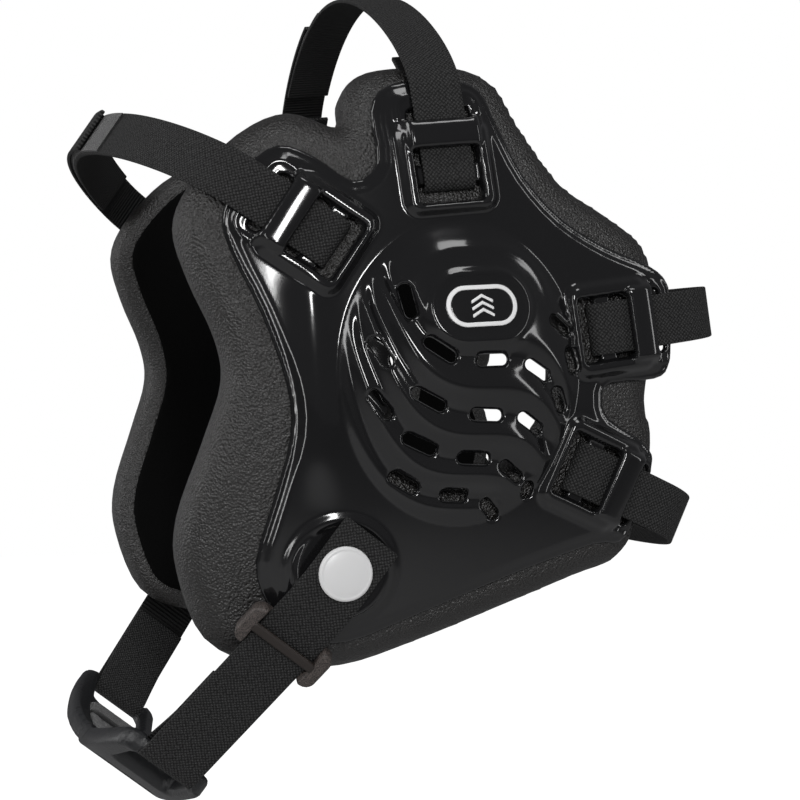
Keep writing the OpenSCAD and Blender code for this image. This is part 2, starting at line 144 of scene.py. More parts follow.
def slab(sd, low, high, step, top, bottom, r_top, r_bottom, place):
    """A wall cut to sd's zero line: a grid snapped to the line, with rounded edges on both faces."""
    nu, nv = [int(math.ceil((b - a) / step)) + 1 for a, b in zip(low, high)]
    bm = bmesh.new()
    bmesh.ops.create_grid(bm, x_segments=nu - 1, y_segments=nv - 1, size=0.5)
    bm.verts.ensure_lookup_table()
    p = np.array([v.co[:2] for v in bm.verts]) + 0.5
    u, v = low[0] + p[:, 0] * (nu - 1) * step, low[1] + p[:, 1] * (nv - 1) * step
    d = sd(u, v)
    out = d > -0.3 * step
    gone = [f for f in bm.faces if all(out[w.index] for w in f.verts)]
    kept = np.zeros(len(u), bool)
    kept[[w.index for f in bm.faces if not all(out[w.index] for w in f.verts) for w in f.verts]] = True
    snap = out & kept
    for _ in range(4):
        uu, vv, dd = u[snap], v[snap], sd(u[snap], v[snap])
        gu = (sd(uu + 0.02, vv) - sd(uu - 0.02, vv)) / 0.04
        gv = (sd(uu, vv + 0.02) - sd(uu, vv - 0.02)) / 0.04
        g = np.maximum(gu * gu + gv * gv, 0.3)
        u[snap], v[snap] = uu - dd * gu / g, vv - dd * gv / g
    inside = np.where(snap, 0, -d)
    points = [place(u, v, top(u, v) - round_drop(inside, r_top)),
              place(u, v, bottom(u, v) + round_drop(inside, r_bottom))]
    low_verts = list(bm.verts)
    for vert in low_verts:
        vert.co.z = vert.index
    bmesh.ops.delete(bm, geom=gone, context="FACES")
    made = bmesh.ops.extrude_face_region(bm, geom=bm.faces[:], use_keep_orig=True)
    raised = {g for g in made["geom"] if isinstance(g, bmesh.types.BMVert)}
    for vert in bm.verts:
        i = int(round(vert.co.z))
        q = points[0 if vert in raised else 1]
        vert.co = (q[0][i], q[1][i], q[2][i])
    bmesh.ops.recalc_face_normals(bm, faces=bm.faces)
    return bm


SHELL_OUTLINE = smooth([
    (-50, -3), (-48.7, -18), (-53, -36), (-57.5, -54), (-54, -66), (-44, -76), (-31, -78), (-10, -70),
    (18, -59), (43, -51), (52, -50.5), (57, -43), (61.5, -30), (60, -22), (47, -14), (44.5, -8),
    (47, -3.5), (62, -2), (67, 2), (68, 14), (67, 26), (61, 31.5), (46, 37), (32, 45), (21, 57),
    (14, 71), (9, 82), (0, 85), (-18, 83), (-24, 75), (-23, 60), (-30, 54.5), (-41, 61.5),
    (-51, 64.5), (-60, 58), (-67, 45), (-65, 34), (-57, 17)], 3)
SHELL_R, SHELL_BALL = 320.0, -219.5          # the moulding follows a ball
SHELL_T, DOME_H, FIN_DEPTH = 2.2, 10.4, 2.3
DOME_HALF = (35.5, 43.0)                     # back and up
# Buckles: direction of the strap in degrees, sideways shift, and where its frame starts
ARMS = {"crown": (96, -3.3, 49), "forehead": (146, -9.5, 46),
        "upper_rear": (8.4, 6.1, 38.4), "lower_rear": (336.2, -10.9, 39.5)}
VENTS = [(-16.8, 20, 10, -78), (-8.4, 6.2, 10.5, -33), (6.8, 3.4, 9.8, 2), (21.6, 0.6, 9.2, -30),
         (29.5, 13.5, 8, -37), (-24.5, 5.6, 9.5, -60), (-11.6, -7.8, 10.8, -28), (5.3, -12.2, 10, -2),
         (19.6, -14.7, 9.4, -32), (29.4, -8, 7.6, -68), (-24.6, -9.2, 9.5, -55), (-13.5, -20.4, 10.6, -25),
         (2.4, -24.6, 9.8, -3), (14.6, -28.6, 9, -35), (-17, -31.5, 9.5, -30), (-2.2, -35.4, 8, -3),
         (33.5, 3.5, 7.5, -75), (20.5, -34.0, 5.0, -110), (9.0, -39.5, 7.0, -50)]
VALLEYS = [(7.5, 21), (6.9, 3.7), (5.4, -11.7), (2.6, -24.3), (-2, -35.7), (-7, -47)]
BADGE_AT, BADGE_TURN = (3.8, 18.7), 3.5
SNAP_AT, SEAT_X = (-34, -57), 94.74


def turned(u, v, at, degrees):
    c, s = math.cos(math.radians(degrees)), math.sin(math.radians(degrees))
    return (u - at[0]) * c + (v - at[1]) * s, -(u - at[0]) * s + (v - at[1]) * c


def arm_local(y, z, arm):
    along, across = turned(y, z, (0, 0), arm[0])
    return along - arm[2], across - arm[1]


def sd_badge(y, z):
    a, b = turned(y, z, BADGE_AT, BADGE_TURN)
    return sd_rect(a, b, 10.6, 5.7, 5.7)


def sd_shell(y, z):
    d = sd_outline(y, z, SHELL_OUTLINE)
    for arm in ARMS.values():
        u, w = arm_local(y, z, arm)
        for start, length in ((0, 5.2), (10.8, 4.8), (23.8, 3.6)):
            d = np.maximum(d, -sd_rect(u - start - length / 2, w, length / 2, 9.3, 1.4))
    for vy, vz, length, slope in VENTS:
        a, b = turned(y, z, (vy, vz), slope)
        d = np.maximum(d, -sd_rect(a, b, length / 2, 1.65, 1.65))
    return d


def swirl(y, z):
    """Which fin a point is on: whole numbers are the valleys between fins."""
    lines = []
    for vy, vz in VALLEYS:
        s = y - vy
        lines.append(vz - np.sign(s) * 2.9 * (np.abs(s) / 14.8) ** 3.2)
    k = np.where(z > lines[0], 0.0, len(lines) - 1.0)
    for i in range(len(lines) - 1):
        t = (lines[i] - z) / np.maximum(lines[i] - lines[i + 1], 0.5)
        k = np.where((t >= 0) & (t < 1), i + t, k)
    return k


def shell_face(y, z):
    """Height of the outer face over the ear axis's middle."""
    x = SHELL_BALL + np.sqrt(SHELL_R ** 2 - y * y - z * z)
    edge = -sd_outline(y, z, SHELL_OUTLINE)
    x += 0.9 * ramp((edge - 1.0) / 3.0) - 0.9
    x += 1.3 * np.exp(-((y + 42 + 0.06 * z) / 5) ** 2) * ramp((z + 40) / 18) * ramp((34 - z) / 14)
    rho = np.hypot(y / DOME_HALF[0], z / DOME_HALF[1])
    dome = DOME_H * (1 - np.clip(rho, 0, 1.1) ** 2.3)
    dome = np.where(rho < 1.1, 0.5 * (dome + np.sqrt(dome * dome + 0.8)), 0)
    dome = dome * ramp((1.1 - rho) / 0.08) - 0.45 * np.exp(-((rho - 1.05) / 0.035) ** 2)
    badge = sd_badge(y, z)
    k = swirl(y, z)
    fin = 0.5 - 0.5 * np.cos(2 * np.pi * k)
    fin = np.where(k < 0.5, 1, fin)
    mask = ramp((badge - 4.5) / 4) * ramp((0.99 - rho) / 0.16)
    dome -= FIN_DEPTH * (1 - fin) * mask
    dome += 0.75 * np.exp(-((badge - 3.9) / 1.1) ** 2) - 0.5 * ramp((2.4 - badge) / 2)
    dome += 0.3 * np.exp(-((badge - 11) / 1.6) ** 2) * ramp((z - BADGE_AT[1]) / 6)
    lift = dome
    for arm in ARMS.values():
        u, w = arm_local(y, z, arm)
        frame_sd = sd_rect(u - 10, w, 14.2, 14.5, 5)
        plate = 2.5 * ramp((0.4 - frame_sd) / 3.2)
        lift = np.where(frame_sd < 0.4, np.maximum(lift, plate), lift)
        well = ramp(-sd_rect(u - 7.6, w, 8.6, 10.2, 1.8) / 1.0)
        lift = lift * (1 - well) + 0.3 * well
        t = (u - 19.7) / 4.3
        bridge = (4.6 - 1.1 * np.abs(t) ** 3) * ramp((13.6 - np.abs(w)) / 4) * (np.abs(t) < 1)
        lift = np.maximum(lift, bridge)
        lift += 0.5 * np.exp(-((sd_rect(u - 14, w, 17.5, 12.3, 4)) / 0.8) ** 2) * (u > 24.5)
    away = np.hypot(y - SNAP_AT[0], z - SNAP_AT[1])
    x += lift
    x += 0.8 * ramp((17.6 - away) / 2.6)
    dish = ramp((14 - away) / 1.2)
    return x * (1 - dish) + (SEAT_X + 0.05 * np.maximum(away - 8, 0)) * dish


shell_black, tree, shader = material("shell_black", Base_Color=linear("#161617"), Roughness=0.1,
                                     Coat_Weight=0.25, Coat_Roughness=0.04)
coord = add(tree, "TexCoord")
flow = add(tree, "TexNoise", {"Vector": coord.outputs["Object"], "Scale": 60, "Detail": 3})
rough = add(tree, "MapRange", {"Value": flow.outputs["Fac"], "To Min": 0.07, "To Max": 0.15})
tree.links.new(rough.outputs["Result"], shader.inputs["Roughness"])
orange = add(tree, "TexNoise", {"Vector": coord.outputs["Object"], "Scale": 260, "Detail": 2})
bump = add(tree, "Bump", {"Height": orange.outputs["Fac"], "Strength": 0.06, "Distance": 0.0002})
tree.links.new(bump.outputs["Normal"], shader.inputs["Normal"])

bm = slab(sd_shell, (-68, -80), (69, 86), 0.56, shell_face, lambda y, z: shell_face(y, z) - SHELL_T,
          0.9, 0.35, lambda u, v, h: (h, u, v))
left_shell = finish(bm, "shell_left", [shell_black], "headgear")
right_shell = mirrored(left_shell, "shell_right", "headgear")
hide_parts("left_ear_shell")
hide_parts("right_ear_shell")

# ---------------------------------------------------------------- Foam pads
# Thick soft pads behind the shells with an ear opening, rounded all round and skinned with a
# pebbled grain. A thin black cloth liner faces the head; its near-black is partly the cloth's own colour
# and partly painted shade.
PAD_OUTLINE = smooth([
    (-66, -3), (-71, -20), (-78, -42), (-77.5, -58), (-69, -78), (-52, -85.5), (-30, -86), (-8, -79),
    (17, -69.5), (40, -61), (54, -56), (60, -45), (64.5, -22), (61.5, -8), (65, 6), (66, 22), (61.5, 38),
    (49.5, 47), (35, 56), (23, 72.5), (16, 85), (5, 90), (-12, 89.5), (-25, 86.5), (-31, 78),
    (-32, 70.8), (-46, 75), (-60, 69), (-74, 54), (-79, 41), (-75, 26), (-68, 10)], 4)
PAD_OUT, PAD_IN, EAR_R, LINER_INSET = 317.5, 297.5, 31, 6.5


def on_ball(radius):
    return lambda y, z: SHELL_BALL + np.sqrt(radius ** 2 - y * y - z * z)


def sd_pad(y, z):
    return np.maximum(sd_outline(y, z, PAD_OUTLINE), EAR_R - np.hypot(y, z))


foam, tree, shader = material("foam_skin", Base_Color=linear("#151515"), Roughness=0.45,
                              Specular_IOR_Level=0.8)
coord = add(tree, "TexCoord")
cells = add(tree, "TexVoronoi", {"Vector": coord.outputs["Object"], "Scale": 1300}, feature="F1")
fine = add(tree, "TexNoise", {"Vector": coord.outputs["Object"], "Scale": 1500, "Detail": 3})
grain = add(tree, "Math", {0: cells.outputs["Distance"], 1: fine.outputs["Fac"]}, operation="ADD")
tone = add(tree, "TexNoise", {"Vector": coord.outputs["Object"], "Scale": 18, "Detail": 2})
colour = add(tree, "ValToRGB", {"Fac": tone.outputs["Fac"]})
colour.color_ramp.elements[0].color = linear("#0d0d0d")
colour.color_ramp.elements[1].color = linear("#15110e")
rough = add(tree, "MapRange", {"Value": cells.outputs["Distance"], "To Min": 0.34, "To Max": 0.56})
bump = add(tree, "Bump", {"Height": grain.outputs[0], "Strength": 0.7, "Distance": 0.0005})
tree.links.new(colour.outputs["Color"], shader.inputs["Base Color"])
tree.links.new(rough.outputs["Result"], shader.inputs["Roughness"])
tree.links.new(bump.outputs["Normal"], shader.inputs["Normal"])

# Near-black liner: partly the cloth's own black, darkened further as painted shade for the head side, which
# lies in shadow
liner_cloth_and_painted_shade, tree, shader = material("liner_cloth_and_painted_shade", Base_Color=linear("#060606"), Roughness=0.95,
                                     Specular_IOR_Level=0.1)
coord = add(tree, "TexCoord")
fuzz = add(tree, "TexNoise", {"Vector": coord.outputs["Object"], "Scale": 1800, "Detail": 3})
bump = add(tree, "Bump", {"Height": fuzz.outputs["Fac"], "Strength": 0.4, "Distance": 0.0003})
tree.links.new(bump.outputs["Normal"], shader.inputs["Normal"])

bm = slab(sd_pad, (-80, -87), (68, 91), 1.6, on_ball(PAD_OUT), on_ball(PAD_IN), 7.5, 8.5,
          lambda u, v, h: (h, u, v))
left_pad = finish(bm, "pad_left", [foam], "headgear")
right_pad = mirrored(left_pad, "pad_right", "headgear")
for obj, side in ((left_pad, "left"), (right_pad, "right")):
    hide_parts(side + "_foam_pad")

bm = slab(lambda y, z: sd_pad(y, z) + LINER_INSET, (-80, -87), (68, 91), 1.6, on_ball(PAD_IN + 0.5),
          on_ball(PAD_IN - 0.35), 0.1, 0.3, lambda u, v, h: (h, u, v))
left_liner = finish(bm, "liner_left", [liner_cloth_and_painted_shade], "headgear")
right_liner = mirrored(left_liner, "liner_right", "headgear")
for obj, side in ((left_liner, "left"), (right_liner, "right")):
    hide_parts(side + "_pad_liner")

# ---------------------------------------------------------------- Badge
# A black oval plate in a white ring on the dome, with a plain raised emblem of three chevrons.
white, tree, shader = material("badge_white", Base_Color=linear("#f2f2f2"), Roughness=0.35)
coord = add(tree, "TexCoord")
fine = add(tree, "TexNoise", {"Vector": coord.outputs["Object"], "Scale": 500})
bump = add(tree, "Bump", {"Height": fine.outputs["Fac"], "Strength": 0.1, "Distance": 0.0001})
tree.links.new(bump.outputs["Normal"], shader.inputs["Normal"])


def badge_place(u, v, h):
    c, s = math.cos(math.radians(BADGE_TURN)), math.sin(math.radians(BADGE_TURN))
    y, z = BADGE_AT[0] + u * c - v * s, BADGE_AT[1] + u * s + v * c
    rho = np.hypot(y / DOME_HALF[0], z / DOME_HALF[1])
    return SHELL_BALL + np.sqrt(SHELL_R ** 2 - y * y - z * z) + DOME_H * (1 - rho ** 2.3) - 0.5 + h, y, z


def flat(h):
    return lambda u, v: np.full(u.shape, float(h))


def ring_sd(u, v):
    d = sd_rect(u, v, 10.7, 5.9, 5.9)
    return np.maximum(d, -(d + 1.25))


def emblem_sd(u, v):
    d = np.full(u.shape, 9.0)
    for top in (2.9, 0.9, -1.1):
        d = np.minimum(d, np.maximum(np.abs(v + 0.55 * np.abs(u) - top) * 0.88 - 0.42, np.abs(u) - 3.3))
    return d


for name, sd, high, mats, node, slot_name in (
        ("badge_face", lambda u, v: sd_rect(u, v, 9.6, 4.8, 4.8), 0.25, [shell_black],
         "badge_plate", "badge_face"),
        ("badge_ring", ring_sd, 0.65, [white], "badge_ring", "badge_ring"),
        ("badge_emblem", emblem_sd, 0.4, [white], None, "badge_ring")):
    bm = slab(sd, (-11.5, -6.5), (11.5, 6.5), 0.25, flat(high), flat(-0.5), 0.15, 0.05, badge_place)
    left = finish(bm, name + "_left", mats, "headgear")
    right = mirrored(left, name + "_right", "headgear")
    for obj, side in ((left, "left"), (right, "right")):
        if node:
            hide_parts(side + "_" + node)

# ---------------------------------------------------------------- Head straps
# Four webbing straps, each a left and a right piece: threaded round its buckle, arched over the
# head, and joined by a hook and loop patch with the right piece's tab outside.
WEB_T, HEAD_W, CHIN_W = 1.3, 15.2, 19.0
RUN_H, TAIL_H, TURN_AT, ARM_LEN = 1.125, -3.85, 3.4, 32.0
LIFT, RISE_T, END_T = 2.85, 0.14, 0.8


def strap_material(name, inner):
    m, tree, shader = material(name, Base_Color=linear("#101010"), Roughness=0.8,
                               Specular_IOR_Level=0.35)
    uv = add(tree, "UVMap", uv_map="UVMap")
    if inner:
        place = add(tree, "Mapping", {"Vector": uv.outputs["UV"], "Scale": (900, 900, 1)})
        weave = add(tree, "TexWave", {"Vector": place.outputs["Vector"], "Scale": 0.24,
                                      "Distortion": 0.4}, bands_direction="Y")
        height = weave.outputs["Fac"]
        low, high = "#0b0b0b", "#1d1d1d"
    else:
        place = add(tree, "Mapping", {"Vector": uv.outputs["UV"], "Rotation": (0, 0, math.radians(45)),
                                      "Scale": (1000, 1000, 1)})
        weave = add(tree, "TexVoronoi", {"Vector": place.outputs["Vector"], "Scale": 1.15,
                                         "Randomness": 0.25}, feature="F1")
        height = add(tree, "MapRange", {"Value": weave.outputs["Distance"], "From Min": 0.62,
                                        "From Max": 0.12}).outputs["Result"]
        low, high = "#0a0a0a", "#484848"
    fuzz = add(tree, "TexNoise", {"Vector": place.outputs["Vector"], "Scale": 2.2, "Detail": 3})
    shade = add(tree, "Math", {0: height, 1: fuzz.outputs["Fac"]}, operation="MULTIPLY")
    colour = add(tree, "ValToRGB", {"Fac": shade.outputs[0]})
    colour.color_ramp.elements[0].color = linear(low)
    colour.color_ramp.elements[1].color = linear(high)
    colour.color_ramp.elements[1].position = 0.65
    bump = add(tree, "Bump", {"Height": height, "Strength": 0.9, "Distance": 0.0005})
    tree.links.new(colour.outputs["Color"], shader.inputs["Base Color"])
    tree.links.new(bump.outputs["Normal"], shader.inputs["Normal"])
    return m


web_out, web_in = strap_material("webbing", False), strap_material("webbing_back", True)


def ribbon(name, path, turn, origin, across, width, thick, mats, body, reverse=False):
    """Webbing along a path of [x, distance] points, in a plane turned about X."""
    path = np.array(path, float)
    keep = np.concatenate([[True], np.linalg.norm(np.diff(path, axis=0), axis=1) > 0.02])
    path = path[keep]
    run = np.concatenate([[0], np.cumsum(np.linalg.norm(np.diff(path, axis=0), axis=1))])
    n = max(int(run[-1] / 1.2), 8)
    at = np.linspace(0, run[-1], n + 1)
    px, pd = np.interp(at, run, path[:, 0]), np.interp(at, run, path[:, 1])
    for _ in range(2):
        px[1:-1], pd[1:-1] = [0.25 * q[:-2] + 0.5 * q[1:-1] + 0.25 * q[2:] for q in (px, pd)]
    a = math.radians(turn)
    bm = bmesh.new()
    uv = bm.loops.layers.uv.new("UVMap")
    nw = 6
    bmesh.ops.create_grid(bm, x_segments=nw, y_segments=n, size=0.5)
    grid = {}
    for v in bm.verts:
        i, j = int(round((v.co.x + 0.5) * nw)), int(round((v.co.y + 0.5) * n))
        w = across + (i / nw - 0.5) * width
        grid[v] = ((i / nw - 0.5) * width, at[j])
        d = pd[j]
        v.co = (px[j], origin[0] + d * math.cos(a) - w * math.sin(a),
                origin[1] + d * math.sin(a) + w * math.cos(a))
    for f in bm.faces:
        for loop in f.loops:
            g = grid[loop.vert]
            loop[uv].uv = (g[0] * MM, g[1] * MM)
    if reverse:
        bmesh.ops.reverse_faces(bm, faces=bm.faces)
    obj = finish(bm, name, mats, body)
    wall = obj.modifiers.new("Solidify", "SOLIDIFY")
    wall.thickness, wall.offset, wall.material_offset = thick * MM, 0, 1
    soft = obj.modifiers.new("Bevel", "BEVEL")
    soft.width, soft.segments, soft.limit_method, soft.angle_limit = 0.35 * MM, 2, "ANGLE", 1.0
    return obj


def tilt(arm):
    return math.asin((arm[2] + ARM_LEN / 2) / SHELL_R)


def arm_point(arm, h, y):
    mid, tip = arm[2] + ARM_LEN / 2, tilt(arm)
    base = SHELL_BALL + math.sqrt(SHELL_R ** 2 - mid ** 2 - arm[1] ** 2)
    return np.array([base + h * math.cos(tip) - (y - ARM_LEN / 2) * math.sin(tip),
                     mid + h * math.sin(tip) + (y - ARM_LEN / 2) * math.cos(tip)])


def arch(arm, reach, full, t):
    m = 2 * t if t <= 0.5 else 2 - 2 * t
    a, tip = arm_point(arm, RUN_H, ARM_LEN + 2), tilt(arm)
    b, c, d = a + full[0] * np.array([-math.sin(tip), math.cos(tip)]), np.array([full[1], reach]), \
        np.array([0, reach])
    p = a * (1 - m) ** 3 + 3 * b * m * (1 - m) ** 2 + 3 * c * m * m * (1 - m) + d * m ** 3
    return p if t <= 0.5 else p * (-1, 1)


def span(arm, reach, full, t0, t1, steps):
    return np.array([arch(arm, reach, full, t0 + (t1 - t0) * i / steps) for i in range(steps + 1)])


def lifted(p, by):
    d = np.gradient(p, axis=0)
    d /= np.linalg.norm(d, axis=1)[:, None]
    return p + np.stack([-d[:, 1], d[:, 0]], 1) * np.array(by)[:, None]


def thread(arm, reach, full):
    tail = lifted(span(arm, reach, full, full[2], 0, 5), [TAIL_H - RUN_H] * 6)
    r = (RUN_H - TAIL_H) / 2
    turn = [arm_point(arm, (RUN_H + TAIL_H) / 2 + r * math.sin(math.radians(a)),
                      TURN_AT + r + r * math.cos(math.radians(a))) for a in range(-90, -271, -18)]
    return [*tail, *turn, arm_point(arm, RUN_H, ARM_LEN - 2)]


# Each head strap: how far over or round the head it reaches, its arch and where the tab ends
for name, reach, full, tab in (
        ("crown", 122, (12, 46, 0.16), 0.62), ("forehead", 120, (16, 46, 0.12), 0.45),
        ("upper_rear", 95, (15, 66, 0.04), 0.55), ("lower_rear", 96, (15, 66, 0.04), 0.55)):
    arm = ARMS[name]
    left_path = thread(arm, reach, full) + list(span(arm, reach, full, 0, END_T, 60))
    rise = [LIFT * float(ramp((1 - tab) * i / 60 / RISE_T)) for i in range(61)]
    right_path = [p * (-1, 1) for p in thread(arm, reach, full)] \
        + list(lifted(span(arm, reach, full, 1, tab, 60), rise))
    left = ribbon(f"{name}_strap_near", left_path, arm[0], (0, 0), arm[1], HEAD_W, WEB_T,
                  [web_out, web_in], "headgear", reverse=True)
    right = ribbon(f"{name}_strap_far", right_path, arm[0], (0, 0), arm[1], HEAD_W, WEB_T,
                   [web_out, web_in], "headgear")
    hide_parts(f"{name}_strap_left")
    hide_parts(f"{name}_strap_right")

# Hook and loop pile: short dark fuzz
pile, tree, shader = material("pile", Base_Color=linear("#161616"), Roughness=0.95, Sheen_Weight=0.3)
coord = add(tree, "TexCoord")
fuzz = add(tree, "TexNoise", {"Vector": coord.outputs["Object"], "Scale": 2500, "Detail": 4})
colour = add(tree, "ValToRGB", {"Fac": fuzz.outputs["Fac"]})
colour.color_ramp.elements[0].color = linear("#0a0a0a")
colour.color_ramp.elements[1].color = linear("#303030")
bump = add(tree, "Bump", {"Height": fuzz.outputs["Fac"], "Strength": 0.9, "Distance": 0.0005})
tree.links.new(colour.outputs["Color"], shader.inputs["Base Color"])
tree.links.new(bump.outputs["Normal"], shader.inputs["Normal"])
for name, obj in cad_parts.items():
    if "patch" in name:
        obj.data.materials.clear()
        obj.data.materials.append(pile)

# ---------------------------------------------------------------- Chin straps and snaps
# Wider webbing from each snap down to the chin cup: the end lies flat under a white cap, the
# strap runs round the cup's end bar, and its end comes back up inside.
CHIN_TURN, WEB_X, CHIN_END, CHIN_FLAT, CHIN_RUN = 232.5, 98.84, 13.3, 9.0, 74.0
LEAN = math.radians(27.09)
BAR = np.array([62.66, 72.5])
BAR_R, LOOP_R = 2.4, 3.3
ORIGIN = SNAP_AT


def chin_point(y):
    return np.array([WEB_X - max(y - CHIN_FLAT, 0) * math.tan(LEAN), y])


def rail(p, inward, down):
    """A point moved inward off the strap's line and down along it."""
    c, s = math.cos(LEAN), math.sin(LEAN)
    return p + inward * np.array([-c, -s]) + down * np.array([-s, c])


chin_path = [[WEB_X, -CHIN_END], [WEB_X, -4], [WEB_X, CHIN_FLAT - 4], chin_point(CHIN_FLAT + 4)]
chin_path += [chin_point(y) for y in np.linspace(CHIN_FLAT + 8, CHIN_RUN - 6, 12)]
chin_path += [BAR + LOOP_R * np.array([math.cos(a + LEAN), math.sin(a + LEAN)])
              for a in np.radians(range(0, 181, 12))]
end = chin_point(CHIN_RUN)
chin_path += [rail(end, 3.6, -9), rail(end, 2.0, -15), rail(end, 1.85, -33)]
left = ribbon("chin_strap_near", chin_path, CHIN_TURN, ORIGIN, 0, CHIN_W, WEB_T,
              [web_out, web_in], "chin_strap_left", reverse=True)
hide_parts("left_chin_strap")
right = ribbon("chin_strap_far", [(-x, y) for x, y in chin_path], CHIN_TURN, ORIGIN, 0, CHIN_W, WEB_T,
               [web_out, web_in], "chin_strap_right")
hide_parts("right_chin_strap")


def lathe(profile, axis_at, steps=64):
    """A turned piece about an X axis through a [back, up] point, from [radius, x] points."""
    bm = bmesh.new()
    verts = [bm.verts.new((x, axis_at[0], axis_at[1] + r)) for r, x in profile]
    edges = [bm.edges.new(pair) for pair in zip(verts, verts[1:])]
    bmesh.ops.spin(bm, geom=verts + edges, cent=(0, *axis_at), axis=(1, 0, 0), angle=math.tau,
                   steps=steps, use_merge=True)
    bmesh.ops.remove_doubles(bm, verts=bm.verts, dist=0.01)
    bmesh.ops.recalc_face_normals(bm, faces=bm.faces)
    return bm


cap_white, tree, shader = material("cap_white", Base_Color=linear("#e4e4e4"), Roughness=0.3)
coord = add(tree, "TexCoord")
fine = add(tree, "TexNoise", {"Vector": coord.outputs["Object"], "Scale": 700, "Detail": 2})
bump = add(tree, "Bump", {"Height": fine.outputs["Fac"], "Strength": 0.08, "Distance": 0.0001})
rough = add(tree, "MapRange", {"Value": fine.outputs["Fac"], "To Min": 0.25, "To Max": 0.38})
tree.links.new(rough.outputs["Result"], shader.inputs["Roughness"])
tree.links.new(bump.outputs["Normal"], shader.inputs["Normal"])
face = WEB_X + WEB_T / 2 + 0.05
bm = lathe([(0, face - 0.2), (7.2, face - 0.2), (7.75, face), (7.85, face + 0.5), (7.7, face + 0.95),
            (7.25, face + 1.25), (6.9, face + 1.3), (6.7, face + 1.2), (6.4, face + 1.3), (4.5, face + 1.6),
            (2, face + 1.72), (0, face + 1.75)], SNAP_AT)
left = finish(bm, "snap_cap_near", [cap_white], "chin_strap_left")
right = mirrored(left, "snap_cap_far", "chin_strap_right")
for obj, side in ((left, "left"), (right, "right")):
    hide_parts(side + "_snap_cap")

# Nickel snap parts keep their turned CAD shapes
nickel, tree, shader = material("nickel", Base_Color=linear("#b4b2ae"), Metallic=1.0, Roughness=0.3)
coord = add(tree, "TexCoord")
fine = add(tree, "TexNoise", {"Vector": coord.outputs["Object"], "Scale": 900, "Detail": 3})
rough = add(tree, "MapRange", {"Value": fine.outputs["Fac"], "To Min": 0.2, "To Max": 0.42})
tree.links.new(rough.outputs["Result"], shader.inputs["Roughness"])
for name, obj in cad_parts.items():
    if "snap_stud" in name or "snap_post" in name or "snap_socket" in name:
        obj.data.materials.clear()
        obj.data.materials.append(nickel)

# ---------------------------------------------------------------- Sliders
# A three-bar slider on each chin strap: a rounded frame whose end bars lie behind the webbing,
# and a middle bar in front of it.
acetal, tree, shader = material("slider_acetal", Base_Color=linear("#4d4643"), Roughness=0.55)
coord = add(tree, "TexCoord")
speck = add(tree, "TexNoise", {"Vector": coord.outputs["Object"], "Scale": 2600, "Detail": 4})
colour = add(tree, "ValToRGB", {"Fac": speck.outputs["Fac"]})
colour.color_ramp.elements[0].color, colour.color_ramp.elements[0].position = linear("#1d1a18"), 0.36
colour.color_ramp.elements[1].color, colour.color_ramp.elements[1].position = linear("#655c58"), 0.7
bump = add(tree, "Bump", {"Height": speck.outputs["Fac"], "Strength": 0.5, "Distance": 0.0003})
tree.links.new(colour.outputs["Color"], shader.inputs["Base Color"])
tree.links.new(bump.outputs["Normal"], shader.inputs["Normal"])


def strap_frame(along):
    """Places slab points on a chin strap: u across, v down the strap, h off its outer face."""
    c, s = math.cos(LEAN), math.sin(LEAN)
    a = math.radians(CHIN_TURN)
    x0, y0 = chin_point(along)

    def place(u, v, h):
        x, d = x0 + h * c - v * s, y0 + h * s + v * c
        return (x, ORIGIN[0] + d * math.cos(a) - u * math.sin(a),
                ORIGIN[1] + d * math.sin(a) + u * math.cos(a))
    return place


def slider_sd(u, v):
    d = sd_rect(u, v, 14.1, 6.5, 3.2)
    return np.maximum(d, -sd_rect(u, v, 10.1, 3.6, 1.2))


bar_brown, tree, shader = material("slider_bar", Base_Color=linear("#241d19"), Roughness=0.45)
coord = add(tree, "TexCoord")
fine = add(tree, "TexNoise", {"Vector": coord.outputs["Object"], "Scale": 900, "Detail": 2})
bump = add(tree, "Bump", {"Height": fine.outputs["Fac"], "Strength": 0.2, "Distance": 0.0002})
tree.links.new(bump.outputs["Normal"], shader.inputs["Normal"])
def slider_frame_top(u, v):
    return -0.9 + 3.3 * ramp((np.abs(u) - 9.4) / 1.0)


def slider_bar_sd(u, v):
    return sd_rect(u, v, 11.2, 1.6, 0.8)


SLIDER_AT = 26                               # down the strap from the snap
for part, paint, sd, top, bottom in (("frame", acetal, slider_sd, slider_frame_top, flat(-2.4)),
                                     ("bar", bar_brown, slider_bar_sd, flat(2.5), flat(0.9))):
    bm = slab(sd, (-15, -7.5), (15, 7.5), 0.5, top, bottom, 0.6, 0.5, strap_frame(SLIDER_AT))
    left = finish(bm, f"slider_{part}_near", [paint], "slider_left")
    right = mirrored(left, f"slider_{part}_far", "slider_right")
    if part == "frame":
        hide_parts("left_slider")
        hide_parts("right_slider")

# ---------------------------------------------------------------- Chin cup
# A thick moulded plate folded at its middle, with bowed arms, a fuller front edge, and a wide
# strap slot and a long slot at each end, in satin leathery rubber.
CUP_T, CUP_HALF, CUP_W = 6.5, 66.0, 31.0
CUP_BOW, CUP_FULLER = 2.8, 3.0
FOLD_Y, FOLD = 84.5, math.tan(math.radians(10.84))


def cup_sd(x, z):
    fuller = CUP_FULLER * np.sin(math.pi * np.clip(np.abs(x) / CUP_HALF, 0, 1)) * ramp((2 - z) / 12)
    d = sd_rect(x, z + fuller, CUP_HALF - 0.4, CUP_W / 2 - 0.7, 9.5)
    for side in (-1, 1):
        d = np.maximum(d, -sd_rect(x - side * 50.3, z, 10.0, 10.0, 3.0))
        d = np.maximum(d, -sd_rect(x - side * 22.3, z, 2.5, 11, 2.5))
    return d


def cup_mid(x, z):
    bow = CUP_BOW * np.sin(math.pi * np.clip(np.abs(x) / 60, 0, 1))
    return FOLD_Y - (np.sqrt(x * x + 16) - 4) * FOLD + bow


def cup_place(x, z, y):
    a = math.radians(CHIN_TURN)
    return (x, ORIGIN[0] + y * math.cos(a) - z * math.sin(a),
            ORIGIN[1] + y * math.sin(a) + z * math.cos(a))


